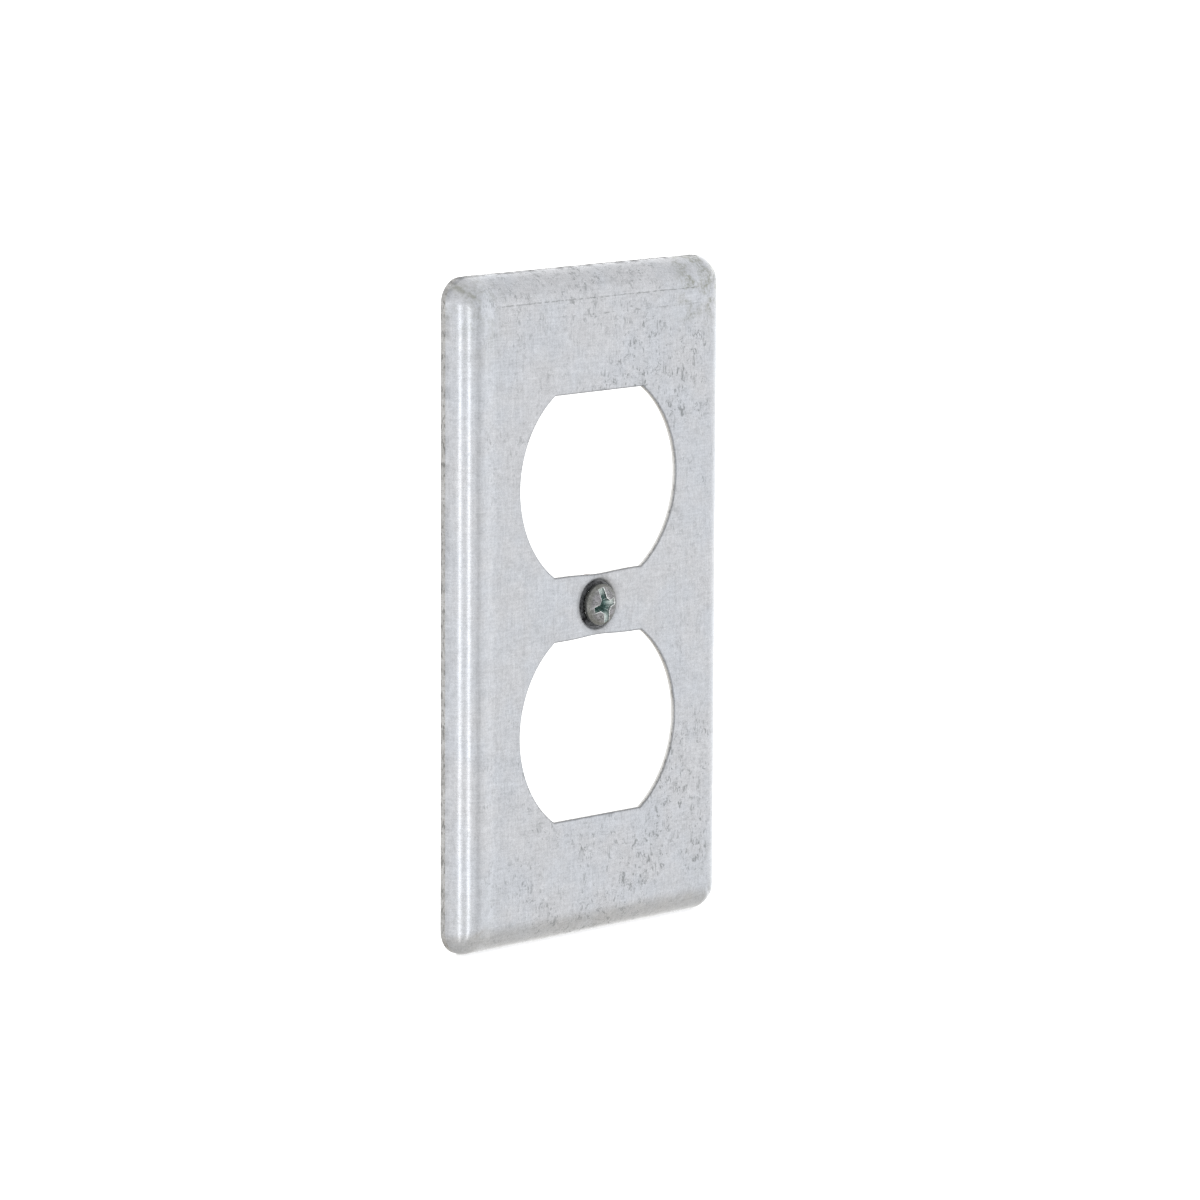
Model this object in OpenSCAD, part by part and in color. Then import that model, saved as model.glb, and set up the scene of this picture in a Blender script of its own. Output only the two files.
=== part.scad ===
// Duplex receptacle cover for a shallow metal utility box: one pressed steel sheet with two
// openings, held by one oval-head screw that a thin washer keeps captive in its hole.
// The cover stands upright and faces -Y. The origin lies on the screw's axis, in the plane
// of the rim's back edge. Lengths are in millimetres.

/* [Plate] */
// Width of the cover across its rim
plate_w = 58.7; // [52:0.1:76]
// Height of the cover along its rim
plate_h = 106.4; // [102:0.1:130]
// Depth from the front face to the rim's back edge
plate_depth = 5.5; // [5.4:0.1:9]
// Thickness of the sheet
sheet_t = 0.8; // [0.6:0.1:1.2]
// Outer radius of the bend between the face and the rim
bend_r = 5.2; // [4:0.1:5.3]
// How far the rim's sheared edge lies inside the full bend
shear_in = 0.25; // [0.1:0.05:0.4]

/* [Receptacle openings] */
// Distance between the centres of the two openings
opening_pitch = 38.9; // [38:0.1:40]
// Diameter of an opening's round sides
opening_d = 34.5; // [33:0.1:36]
// Distance between an opening's two flats
opening_flats = 28.6; // [27:0.1:29]

/* [Screw seat] */
// Diameter of the seat's mouth at the front face
mouth_d = 8; // [7.6:0.1:8.8]
// Diameter of the seat's floor, where the wall ends
floor_d = 7.2; // [7:0.1:7.4]
// Depth of the seat's floor below the front face
floor_depth = 0.65; // [0.5:0.05:1]
// Diameter of the cone's top edge in the floor
cone_d = 5.6; // [5.2:0.1:5.8]
// Diameter of the clearance hole
hole_d = 4.2; // [3.8:0.1:4.6]
// Thickness of the metal that is pressed out behind the seat
boss_t = 0.7; // [0.5:0.1:0.9]

/* [Screw] */
// Diameter of the head
head_d = 6.8; // [6.4:0.1:7]
// Height of the head's straight edge
edge_h = 0.3; // [0.1:0.05:0.4]
// Height of the head above its edge, shoulder and dome together
dome_h = 1; // [0.9:0.05:1.3]
// Height of the sloped shoulder between the edge and the dome
shoulder_h = 0.35; // [0.2:0.05:0.4]
// How far the shoulder slopes in
shoulder_in = 0.25; // [0.1:0.05:0.4]
// Angle of the cone under the head, in degrees
head_angle = 82; // [80:1:84]
// Outside diameter of the thread
thread_d = 3.5; // [3.4:0.01:3.51]
// Diameter of the shank between the head and the full thread
shank_d = 3; // [2.8:0.1:3.1]
// Length from the head's edge to the tip
screw_len = 12.7; // [12.7:0.1:19.1]
// Gap that keeps the head's cone off its seat
seat_gap = 0.1; // [0.05:0.05:0.3]

/* [Driver recess] */
// Width of the straight slot
slot_w = 1.15; // [0.9:0.05:1.3]
// Depth of the straight slot below the top of the dome
slot_depth = 1.25; // [0.8:0.05:1.4]
// Span of the cross at the head's surface
cross_span = 4.1; // [3.6:0.1:4.4]
// Width of the cross's arms
cross_w = 1.05; // [0.9:0.05:1.2]
// Depth of the cross below the top of the dome
cross_depth = 2.4; // [2:0.1:2.6]
// Turn of the slot from upright, counter-clockwise from the front, in degrees
slot_turn = 14; // [0:0.5:45]

/* [Washer] */
// Outside diameter of the retaining washer
washer_d = 9; // [8:0.1:10]
// Thickness of the retaining washer
washer_t = 0.8; // [0.6:0.1:1]
// Radial clearance between the washer's hole and the thread
washer_gap = 0.05; // [0.02:0.01:0.1]

/* [Hidden] */
$fn = 96;

// Overlap that carries a cut clear of a surface
clear = 1;
// Reach of the rim beyond the flat part of the face
rim_reach = bend_r - shear_in;
// Size of the flat part of the face
face_w = plate_w - 2 * rim_reach;
face_h = plate_h - 2 * rim_reach;
// Straight run of the rim behind the bend
rim_run = plate_depth - bend_r;
// Radial run of the head's cone for each millimetre of depth
cone_run = tan(head_angle / 2);
// Depth at which the seat's cone meets the clearance hole
cone_depth = floor_depth + (cone_d - hole_d) / 2 / cone_run;
// Depth of the pressed metal's back edge
boss_depth = cone_depth + boss_t;
// Depths of the head's edge, top and bottom, with the screw driven home
edge_bottom = floor_depth - (head_d - cone_d) / 2 / cone_run - seat_gap;
edge_top = edge_bottom - edge_h;
dome_top = edge_top - dome_h;
// Depth at which the head's cone runs into the shank
neck_depth = edge_bottom + (head_d - shank_d) / 2 / cone_run;
// Depths of the washer's front and back faces
washer_front = boss_depth + seat_gap;
washer_back = washer_front + washer_t;
// Depths at which the full thread starts, just behind the washer, and ends
thread_depth = washer_back + 0.2;
tip_depth = edge_top + screw_len;
// Length of the tip's chamfer
tip_chamfer = 0.5;
// Radius of the dome's edge, height of the dome, and radius of the sphere it is cut from
cap_edge_r = head_d / 2 - shoulder_in;
cap_h = dome_h - shoulder_h;
dome_r = (pow(cap_edge_r, 2) + pow(cap_h, 2)) / (2 * cap_h);
// Radius of the cross's tapered floor
cross_floor_r = 0.55;

// Puts a shape on the upright cover: its z = 0 plane becomes the front face, its +z points
// out of the face and its +y points up.
module from_face() {
    translate([0, -plate_depth, 0])
        rotate([90, 0, 0])
            children();
}

// Section across the rim, from the edge of the flat face outwards: a quarter bend, trimmed
// by the shear, and the short straight run behind it.
module rim_section() {
    difference() {
        intersection() {
            union() {
                translate([0, -bend_r])
                    circle(r = bend_r);
                translate([0, -plate_depth])
                    square([bend_r, rim_run]);
            }
            translate([0, -plate_depth])
                square([rim_reach, plate_depth]);
        }
        translate([0, -bend_r])
            circle(r = bend_r - sheet_t);
        translate([-clear, -plate_depth - clear])
            square([bend_r - sheet_t + clear, rim_run + clear]);
    }
}

// One straight side of the rim, centred on +x at the given distance
module rim_side(distance, length) {
    translate([distance, length / 2, 0])
        rotate([90, 0, 0])
            linear_extrude(height = length)
                rim_section();
}

// One opening: a disc with its top and bottom cut flat
module opening() {
    intersection() {
        translate([0, 0, -sheet_t - clear])
            cylinder(d = opening_d, h = sheet_t + 2 * clear);
        translate([-opening_d / 2, -opening_flats / 2, -sheet_t - clear])
            cube([opening_d, opening_flats, sheet_t + 2 * clear]);
    }
}

// The metal around the screw, pressed back out of the face
module seat_boss() {
    rotate_extrude()
        polygon([
            [0, 0],
            [mouth_d / 2 + sheet_t, 0],
            [mouth_d / 2 + sheet_t, -sheet_t],
            [floor_d / 2 + boss_t, -floor_depth - boss_t],
            [cone_d / 2 + boss_t / 2, -floor_depth - boss_t],
            [hole_d / 2 + boss_t, -boss_depth],
            [0, -boss_depth]
        ]);
}

// The space that the seat leaves open: a dished mouth, a cone for the head and the hole
module seat_space() {
    rotate_extrude()
        polygon([
            [0, clear],
            [mouth_d / 2, clear],
            [mouth_d / 2, 0],
            [floor_d / 2, -floor_depth],
            [cone_d / 2, -floor_depth],
            [hole_d / 2, -cone_depth],
            [hole_d / 2, -boss_depth - clear],
            [0, -boss_depth - clear]
        ]);
}

module cover_plate() {
    color([0.79, 0.80, 0.82])
        from_face()
            difference() {
                union() {
                    translate([-face_w / 2, -face_h / 2, -sheet_t])
                        cube([face_w, face_h, sheet_t]);
                    for (half_turn = [0, 180]) {
                        rotate([0, 0, half_turn])
                            rim_side(face_w / 2, face_h);
                        rotate([0, 0, half_turn + 90])
                            rim_side(face_h / 2, face_w);
                        rotate([0, 0, half_turn])
                            translate([face_w / 2, face_h / 2, 0])
                                rotate_extrude(angle = 90)
                                    rim_section();
                        rotate([0, 0, half_turn])
                            translate([-face_w / 2, face_h / 2, 0])
                                rotate([0, 0, 90])
                                    rotate_extrude(angle = 90)
                                        rim_section();
                    }
                    seat_boss();
                }
                for (side = [-1, 1])
                    translate([0, side * opening_pitch / 2, 0])
                        opening();
                seat_space();
            }
}

// The driver's recess: a slot right across the head and a tapered cross
module driver_recess() {
    rotate([0, 0, slot_turn]) {
        translate([-slot_w / 2, -head_d / 2 - clear, -dome_top - slot_depth])
            cube([slot_w, head_d + 2 * clear, slot_depth + clear]);
        intersection() {
            translate([0, 0, -dome_top - cross_depth])
                cylinder(r1 = cross_floor_r, r2 = cross_span / 2, h = cross_depth);
            union()
                for (arm = [0, 90])
                    rotate([0, 0, arm])
                        translate([-cross_w / 2, -cross_span / 2, -dome_top - cross_depth])
                            cube([cross_w, cross_span, cross_depth]);
        }
    }
}

module cover_screw() {
    color([0.72, 0.75, 0.73])
        from_face()
            difference() {
                union() {
                    intersection() {
                        translate([0, 0, -dome_top - dome_r])
                            sphere(r = dome_r);
                        translate([0, 0, -edge_top + shoulder_h])
                            cylinder(r = cap_edge_r, h = cap_h + clear);
                    }
                    rotate_extrude()
                        polygon([
                            [0, -edge_top + shoulder_h],
                            [cap_edge_r, -edge_top + shoulder_h],
                            [head_d / 2, -edge_top],
                            [head_d / 2, -edge_bottom],
                            [shank_d / 2, -neck_depth],
                            [shank_d / 2, -thread_depth],
                            [thread_d / 2, -thread_depth],
                            [thread_d / 2, -tip_depth + tip_chamfer],
                            [thread_d / 2 - tip_chamfer, -tip_depth],
                            [0, -tip_depth]
                        ]);
                }
                driver_recess();
            }
}

module retaining_washer() {
    color([0.36, 0.16, 0.13])
        from_face()
            translate([0, 0, -washer_back])
                difference() {
                    cylinder(d = washer_d, h = washer_t);
                    translate([0, 0, -clear])
                        cylinder(r = thread_d / 2 + washer_gap, h = washer_t + 2 * clear);
                }
}

cover_plate();
cover_screw();
retaining_washer();
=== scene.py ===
"""Looks for a duplex receptacle cover: a pressed galvanised sheet, its captive screw and the washer.

Lengths are millimetres unless a comment says metres. They are measured from the middle of the
front face: x to the right, z up, and d, the depth behind the face. to_row() turns them into the
row's frame, in metres.
"""

import math

import bmesh
import bpy
import numpy as np
from mathutils import Matrix, Vector, noise
from mathutils.geometry import delaunay_2d_cdt


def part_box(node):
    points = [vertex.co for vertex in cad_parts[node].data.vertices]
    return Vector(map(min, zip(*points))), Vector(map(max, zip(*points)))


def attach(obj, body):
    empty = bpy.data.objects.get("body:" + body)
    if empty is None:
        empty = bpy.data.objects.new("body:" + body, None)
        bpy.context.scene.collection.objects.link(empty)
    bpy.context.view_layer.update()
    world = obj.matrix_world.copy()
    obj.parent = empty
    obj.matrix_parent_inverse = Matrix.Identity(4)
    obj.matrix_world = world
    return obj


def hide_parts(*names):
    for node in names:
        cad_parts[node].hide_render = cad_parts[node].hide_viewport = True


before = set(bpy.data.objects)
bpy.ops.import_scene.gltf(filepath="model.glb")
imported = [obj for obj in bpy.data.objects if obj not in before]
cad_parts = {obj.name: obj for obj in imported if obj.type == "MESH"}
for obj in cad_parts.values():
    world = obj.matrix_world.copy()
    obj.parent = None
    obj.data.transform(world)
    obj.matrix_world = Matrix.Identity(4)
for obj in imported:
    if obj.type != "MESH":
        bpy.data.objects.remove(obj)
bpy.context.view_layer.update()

MM = 0.001
plate_low, plate_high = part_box("cover_plate")
_, screw_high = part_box("cover_screw")
washer_low, washer_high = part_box("retaining_washer")
FACE_Y = plate_low.y

# The sheet, from the frame and from the design's own sizes
HALF_W = plate_high.x / MM
HALF_H = plate_high.z / MM
DEPTH = (plate_high.y - plate_low.y) / MM
SHEET = 0.8
BEND_R = 5.2
RIM_REACH = 4.95
INNER_R = BEND_R - SHEET
FACE_HALF_W = HALF_W - RIM_REACH
FACE_HALF_H = HALF_H - RIM_REACH

# The two openings for the receptacle's faces
OPENING_PITCH = 38.9
OPENING_R = 17.25
OPENING_FLAT = 14.3
# How far the bridge between them is drawn in beside the screw, and over what length
NECK_IN = 0.3
NECK_SPREAD = 3.0

# The screw: its seat in the sheet, its head and its thread
SEAT_R = 4.42
HOLE_R = 2.1
CONE_TOP_R = 2.8
SEAT_FLOOR = 0.65
HOLE_TOP = 1.455
BOSS_BACK = (washer_low.y - FACE_Y) / MM - 0.1
HEAD_R = screw_high.x / MM - 0.12
DOME_TOP = 1.44
DOME_H = 0.93
EDGE_H = 0.5
HEAD_HALF_ANGLE = math.radians(41)
THREAD_R = 1.74
THREAD_ROOT_R = 1.33
THREAD_PITCH = 0.79375
SLOT_TURN = math.radians(14)
RECESS_SHIFT = Vector((0.14, -0.12, 0))
TIP_DEPTH = (screw_high.y - FACE_Y) / MM
# Points round each turned part, and the side of the seat that is darkened as painted shade
TURNED_SEGMENTS = 128
SHADED_SIDE_ANGLE = math.radians(165)


def to_row(x, z, d):
    """A point of the cover, in the row's frame and in metres."""
    return Vector((x * MM, FACE_Y + d * MM, z * MM))


def smoothstep(low, high, value):
    """0 below low, 1 above high, and a smooth rise between them."""
    t = min(max((value - low) / (high - low), 0.0), 1.0)
    return t * t * (3 - 2 * t)


def ripple(x, z, size, seed):
    """Smooth noise from about -1 to 1 whose bumps are about size millimetres across."""
    return noise.noise(Vector((x / size, z / size, 7.3 * seed)))


# ---------------------------------------------------------------- meshes


class Shell:
    """Points and faces of one closed surface. Faces carry the index of their material."""

    def __init__(self):
        self.points = []
        self.shade_and_dark_marks = []
        self.faces = []
        self.materials = []

    def ring(self, points, shade_and_dark_marks=0.0):
        """Adds a closed ring of (x, z, d) points and returns their indices. shade_and_dark_marks is 0 to
        1: painted shade, and dark patches along the rim's lip.
        """
        start = len(self.points)
        self.points.extend(points)
        self.shade_and_dark_marks.extend(shade_and_dark_marks if isinstance(shade_and_dark_marks, list) else [shade_and_dark_marks] * len(points))
        return list(range(start, len(self.points)))

    def face(self, corners, material):
        self.faces.append(tuple(corners))
        self.materials.append(material)

    def loft(self, rings, material):
        """Quads between each two neighbouring rings, which have the same number of points."""
        for near, far in zip(rings, rings[1:]):
            for i, corner in enumerate(near):
                j = (i + 1) % len(near)
                self.face((corner, near[j], far[j], far[i]), material)

    def fan(self, ring, tip, material):
        """Closes a ring with triangles to one point."""
        centre = self.ring([tip])[0]
        for i, corner in enumerate(ring):
            self.face((corner, ring[(i + 1) % len(ring)], centre), material)

    def fill(self, outer, holes, spacing, material):
        """Triangles over the flat region inside outer and outside every hole."""
        rings = [unique(self.points, r) for r in [outer] + holes]
        flat = [[Vector(self.points[i][:2]) for i in r] for r in rings]
        indices = [i for r in rings for i in r]
        coords = [p for loop in flat for p in loop]
        edges = []
        for r in rings:
            start = len(edges)
            edges += [(start + i, start + (i + 1) % len(r)) for i in range(len(r))]
        depth = self.points[outer[0]][2]
        for p in grid_points(flat, spacing):
            coords.append(p)
            indices.append(self.ring([(p.x, p.y, depth)])[0])
        _, _, triangles, origin, _, _ = delaunay_2d_cdt(coords, edges, [], 0, 1e-7)
        for corners in triangles:
            old = [origin[c][0] for c in corners]
            middle = sum((coords[c] for c in old), Vector((0, 0))) / 3
            if inside(middle, flat[0]) and not any(inside(middle, h) for h in flat[1:]):
                self.face([indices[c] for c in old], material)

    def build(self, name, materials, sharp_angle=38):
        """The finished object in the row's frame, with doubled points merged."""
        mesh = bpy.data.meshes.new(name)
        mesh.from_pydata([to_row(*p) for p in self.points], [], self.faces)
        mesh.polygons.foreach_set("material_index", self.materials)
        mesh.attributes.new("shade_and_dark_marks", "FLOAT", "POINT").data.foreach_set("value", self.shade_and_dark_marks)
        work = bmesh.new()
        work.from_mesh(mesh)
        bmesh.ops.remove_doubles(work, verts=work.verts, dist=1e-8)
        bmesh.ops.dissolve_degenerate(work, edges=work.edges, dist=1e-8)
        bmesh.ops.recalc_face_normals(work, faces=work.faces)
        work.to_mesh(mesh)
        work.free()
        return finished(name, mesh, materials, sharp_angle)


def finished(name, mesh, materials, sharp_angle):
    """Links a mesh as an object with its materials, smooth except across sharp angles."""
    for material in materials:
        mesh.materials.append(material)
    mesh.polygons.foreach_set("use_smooth", [True] * len(mesh.polygons))
    mesh.set_sharp_from_angle(angle=math.radians(sharp_angle))
    piece = bpy.data.objects.new(name, mesh)
    bpy.context.scene.collection.objects.link(piece)
    return piece


def unique(points, ring):
    """The ring without neighbours that lie on one spot."""
    kept = []
    for i in ring:
        if not kept or math.dist(points[i][:2], points[kept[-1]][:2]) > 1e-5:
            kept.append(i)
    return kept


def inside(p, loop):
    """Is p inside the closed loop? Counts the edges that a line to the right crosses."""
    odd = False
    for a, b in zip(loop, loop[1:] + loop[:1]):
        if (a.y > p.y) != (b.y > p.y):
            if p.x < a.x + (p.y - a.y) / (b.y - a.y) * (b.x - a.x):
                odd = not odd
    return odd


def grid_points(loops, spacing):
    """Points of a hexagonal grid inside the first loop, clear of it and of the other loops."""
    edge = np.array([tuple(p) for loop in loops for p in loop])
    low, high = np.array(loops[0]).min(0), np.array(loops[0]).max(0)
    points = []
    row = 0
    z = low[1] + spacing / 2
    while z < high[1]:
        x = low[0] + spacing * (0.25 + 0.5 * (row % 2))
        while x < high[0]:
            p = Vector((x, z))
            gap = np.hypot(edge[:, 0] - x, edge[:, 1] - z).min()
            if gap > 0.6 * spacing and inside(p, loops[0]):
                if not any(inside(p, hole) for hole in loops[1:]):
                    points.append(p)
            x += spacing
        z += spacing * math.sqrt(3) / 2
        row += 1
    return points


def circle_angles(count):
    """Evenly spaced angles once round a circle."""
    return [2 * math.pi * i / count for i in range(count)]


def seat_rings(shell, profile, material):
    """The seat's (radius, depth) profile turned about the screw's axis.

    Its wall is darkened on one side and its floor all round, as painted shade in the gap round the
    head. The painted shade goes by depth alone, so the pressed-out back of the seat carries it too.
    """
    rings = []
    angles = circle_angles(TURNED_SEGMENTS)
    # The wall is painted dark on the left, where the gap round the head lies in shade: painted shade.
    shaded_side = [smoothstep(-0.4, 0.5, math.cos(a - SHADED_SIDE_ANGLE)) for a in angles]
    for radius, depth in profile:
        ring = [(radius * math.cos(a), radius * math.sin(a), depth) for a in angles]
        everywhere = 0.95 * smoothstep(0.5, 0.64, depth)
        one_sided = smoothstep(0.02, 0.4, depth)
        rings.append(shell.ring(ring, [max(everywhere, one_sided * amount) for amount in shaded_side]))
    shell.loft(rings, material)
    return rings


# ---------------------------------------------------------------- the pressed sheet

# How round the corners are, from square at 0 to an arc about the flat face's corner at 1
CORNER_SHARE = 0.82
# Spacing of the rim's points along a side, and their number round a corner
SIDE_STEP = 0.5
CORNER_STEPS = 36
# How far out the bend would reach, a little less than its depth because the rim is pulled in
BEND_REACH = 5.02
# The wrinkle that each corner's metal gathers into
WRINKLE_DEPTH = 0.09
WRINKLE_WIDTH = 0.42
# Spacing of the points inside the front and back of the flat face
FRONT_SPACING = 1.1
BACK_SPACING = 1.6


def rim_stations():
    """Stations round the rim: a point on the flat face's edge, its corner's signs and a direction."""
    stations = []
    corners = [(1, 1, 0), (-1, 1, 90), (-1, -1, 180), (1, -1, 270)]
    for index, (sx, sz, start) in enumerate(corners):
        base = (sx * FACE_HALF_W, sz * FACE_HALF_H)
        for step in range(CORNER_STEPS + 1):
            angle = math.radians(start + 90 * step / CORNER_STEPS)
            stations.append((base, (sx, sz), (math.cos(angle), math.sin(angle))))
        nx, nz, _ = corners[(index + 1) % 4]
        end = (nx * FACE_HALF_W, nz * FACE_HALF_H)
        count = round(math.dist(base, end) / SIDE_STEP)
        angle = math.radians(start + 90)
        direction = (round(math.cos(angle)), round(math.sin(angle)))
        for step in range(1, count):
            t = step / count
            point = (base[0] + t * (end[0] - base[0]), base[1] + t * (end[1] - base[1]))
            stations.append((point, None, direction))
    return stations


def rim_point(station, reach, depth):
    """The point that lies reach outside the flat face, on one station of the rim."""
    base, corner, direction = station
    if corner is None:
        return (base[0] + reach * direction[0], base[1] + reach * direction[1], depth)
    share = CORNER_SHARE
    x = base[0] + reach * ((1 - share) * corner[0] + share * direction[0])
    z = base[1] + reach * ((1 - share) * corner[1] + share * direction[1])
    return (x, z, depth)


def rim_profile():
    """(reach, depth, roughness of the cut) from the front face round the rim to its inside."""
    end = math.asin(RIM_REACH / BEND_REACH)
    turns = np.linspace(0, end, 26)
    bend = [(BEND_REACH * math.sin(t), BEND_R * (1 - math.cos(t)), 0.0) for t in turns]
    lip = bend[-1][1]
    cut = [
        (RIM_REACH, lip + 0.05, 0.6),
        (RIM_REACH - 0.01, lip + 0.12, 1.0),
        (RIM_REACH - 0.02, lip + 0.25, 0.8),
        (RIM_REACH - 0.02, lip + 0.45, 0.7),
        (RIM_REACH - 0.02, lip + 0.65, 0.9),
        (RIM_REACH - 0.03, lip + 0.85, 0.9),
        (RIM_REACH - 0.04, DEPTH - 0.12, 0.8),
        (RIM_REACH - 0.08, DEPTH - 0.03, 0.4),
        (RIM_REACH - 0.16, DEPTH, 0.0),
        (INNER_R + 0.1, DEPTH, 0.0),
        (INNER_R + 0.02, DEPTH - 0.04, 0.0),
    ]
    hollow = [(INNER_R, BEND_R, 0.0)]
    for t in np.linspace(math.pi / 2, 0, 18)[1:]:
        hollow.append((INNER_R * math.sin(t), BEND_R - INNER_R * math.cos(t), 0.0))
    return bend, cut, hollow


def rim_ring(shell, stations, reach, depth, roughness):
    """One ring of the rim. The cut is ragged along its length and its lip wanders. The lip is darkened in
    patches, most along the top, and along the bottom as painted shade.
    """
    points, shade_and_dark_marks = [], []
    for station in stations:
        x, z, _ = rim_point(station, reach, depth)
        _, _, (_, upwards) = station
        patchy = smoothstep(-0.15, 0.25, ripple(x, z, 1.2, 31))
        upper = smoothstep(0.95, 0.99, reach / RIM_REACH) * patchy * (0.2 + 0.4 * max(upwards, 0))
        # The downward-facing rim is darkened as painted shade.
        underside_shade = smoothstep(0.88, 0.98, reach / RIM_REACH) * 0.22 * max(-upwards, 0)
        shade_and_dark_marks.append(max(upper, underside_shade))
        wander = 0.06 * ripple(x, z, 3.0, 1) + 0.05 * ripple(x, z, 0.9, 2)
        chatter = 0.07 * ripple(x + 3 * depth, z, 0.5, 3) + 0.04 * ripple(x, z + 5 * depth, 0.25, 4)
        inward = roughness * (abs(wander) + abs(chatter))
        points.append(rim_point(station, reach - inward, depth + roughness * wander))
    return shell.ring(points, shade_and_dark_marks)


def opening_outline(side):
    """Closed outline of one opening, with the bridge's edge drawn in beside the screw."""
    centre = side * OPENING_PITCH / 2
    corner = math.asin(OPENING_FLAT / OPENING_R)
    half_flat = OPENING_R * math.cos(corner)
    points = []
    for start, sign in ((-corner, 1), (math.pi - corner, -1)):
        for t in np.linspace(start, start + 2 * corner, 97)[:-1]:
            points.append((OPENING_R * math.cos(t), centre + OPENING_R * math.sin(t)))
        for t in np.linspace(1, -1, 61)[:-1]:
            x, z = sign * t * half_flat, centre + sign * OPENING_FLAT
            if sign == -side:
                z -= side * NECK_IN * math.exp(-0.5 * (x / NECK_SPREAD) ** 2)
            points.append((x, z))
    return points


def offset_outline(outline, distance):
    """The outline moved into the metal by a distance, with its corners kept mitred."""
    pts = np.array(outline)
    before = pts - np.roll(pts, 1, axis=0)
    after = np.roll(pts, -1, axis=0) - pts
    before /= np.linalg.norm(before, axis=1)[:, None]
    after /= np.linalg.norm(after, axis=1)[:, None]
    normal = np.stack([before[:, 1] + after[:, 1], -before[:, 0] - after[:, 0]], axis=1)
    normal /= 1 + (before * after).sum(1)[:, None]
    return pts + distance * normal


# (distance into the metal, depth, roughness) over a punched edge: a rolled front, a smooth band
# where the punch sheared, a torn band behind it and a small burr at the back
PUNCHED_ROLL = [(0.34, 0.0, 0), (0.22, 0.006, 0), (0.13, 0.025, 0), (0.07, 0.06, 0), (0.03, 0.11, 0)]
PUNCHED_WALL = [
    (0.01, 0.17, 0.1),
    (0.0, 0.26, 0.2),
    (0.0, 0.42, 0.3),
    (0.015, 0.46, 1.0),
    (0.03, 0.58, 1.0),
    (0.045, 0.7, 1.0),
    (0.05, 0.8, 0.8),
    (0.06, 0.835, 0.8),
    (0.1, 0.805, 0.2),
    (0.15, 0.8, 0.0),
]


def punched_ring(shell, outline, distance, depth, roughness):
    """One ring of a punched edge, ragged where the metal tore."""
    points = []
    for x, z in offset_outline(outline, distance):
        tear = 0.025 * roughness * ripple(x + 2 * depth, z, 0.6, 5)
        points.append((x, z, depth + tear))
    # The rolled front is darkened through shade_and_dark_marks: painted shade where the edge rolls away
    # into the opening.
    rolled = 0.7 * (1 - smoothstep(0.06, 0.3, distance))
    return shell.ring(points, rolled * (1 - 0.85 * smoothstep(0.06, 0.18, depth)))


def seat_profile():
    """(radius, depth) through the screw's seat, from the front face to the pressed-out back."""
    return [
        (SEAT_R, 0.0),
        (4.31, 0.012),
        (4.19, 0.05),
        (4.07, 0.125),
        (3.97, 0.22),
        (3.89, 0.33),
        (3.82, 0.45),
        (3.72, 0.56),
        (3.58, 0.63),
        (3.4, SEAT_FLOOR),
        (CONE_TOP_R + 0.12, SEAT_FLOOR),
        (CONE_TOP_R, SEAT_FLOOR + 0.03),
        (2.45, 1.05),
        (HOLE_R + 0.03, HOLE_TOP - 0.03),
        (HOLE_R, HOLE_TOP + 0.06),
        (HOLE_R, BOSS_BACK - 0.05),
        (HOLE_R + 0.06, BOSS_BACK),
        (HOLE_R + 0.4, BOSS_BACK),
        (HOLE_R + 0.62, BOSS_BACK - 0.06),
        (2.84, 1.92),
        (2.97, 1.66),
        (3.14, 1.45),
        (3.35, 1.36),
        (3.7, 1.34),
        (3.98, 1.3),
        (4.18, 1.19),
        (4.32, 1.03),
        (4.41, 0.9),
        (4.49, 0.83),
        (4.58, 0.8),
    ]


def sheet_warp(x, z, d):
    """How far the whole sheet lies behind its ideal shape, at one point of it."""
    radius = math.hypot(x, z)
    drawn = 0.1 * math.exp(-(((radius - 4.0) / 1.9) ** 2)) * smoothstep(3.5, 4.1, radius)
    sag = 0.03 * ripple(x, z, 22, 6) + 0.01 * ripple(x, z, 7, 7) + 0.0035 * ripple(x, z, 2.6, 8)
    over_x, over_z = abs(x) - FACE_HALF_W, abs(z) - FACE_HALF_H
    along = (over_x + over_z) / math.sqrt(2)
    across = (over_x - over_z) / math.sqrt(2) - 0.25 * ripple(x, z, 2.5, 9)
    wrinkle = math.exp(-((across / WRINKLE_WIDTH) ** 2)) * smoothstep(0.0, 1.6, along)
    fade = 1 - smoothstep(2.6, 4.6, d)
    return drawn + sag * smoothstep(4.0, 9.0, radius) + WRINKLE_DEPTH * wrinkle * fade


def make_sheet(skin, cut_metal):
    """The cover: front, rim, cut edge, hollow, openings and the screw's seat, as one surface."""
    shell = Shell()
    stations = rim_stations()
    bend, cut, hollow = rim_profile()
    outer = [rim_ring(shell, stations, *p) for p in bend]
    edge = [outer[-1]] + [rim_ring(shell, stations, *p) for p in cut]
    inner = [edge[-1]] + [rim_ring(shell, stations, *p) for p in hollow]
    shell.loft(outer, 0)
    shell.loft(edge, 1)
    shell.loft(inner, 0)
    front_holes, back_holes = [], []
    for side in (1, -1):
        outline = opening_outline(side)
        rolled = [punched_ring(shell, outline, *p) for p in PUNCHED_ROLL]
        wall = [rolled[-1]] + [punched_ring(shell, outline, *p) for p in PUNCHED_WALL]
        shell.loft(rolled, 0)
        shell.loft(wall, 1)
        front_holes.append(rolled[0])
        back_holes.append(wall[-1])
    seat = seat_rings(shell, seat_profile(), 0)
    shell.fill(outer[0], front_holes + [seat[0]], FRONT_SPACING, 0)
    shell.fill(inner[-1], back_holes + [seat[-1]], BACK_SPACING, 0)
    shell.points = [(x, z, d + sheet_warp(x, z, d)) for x, z, d in shell.points]
    return shell.build("pressed_sheet", [skin, cut_metal])


# ---------------------------------------------------------------- the screw


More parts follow.
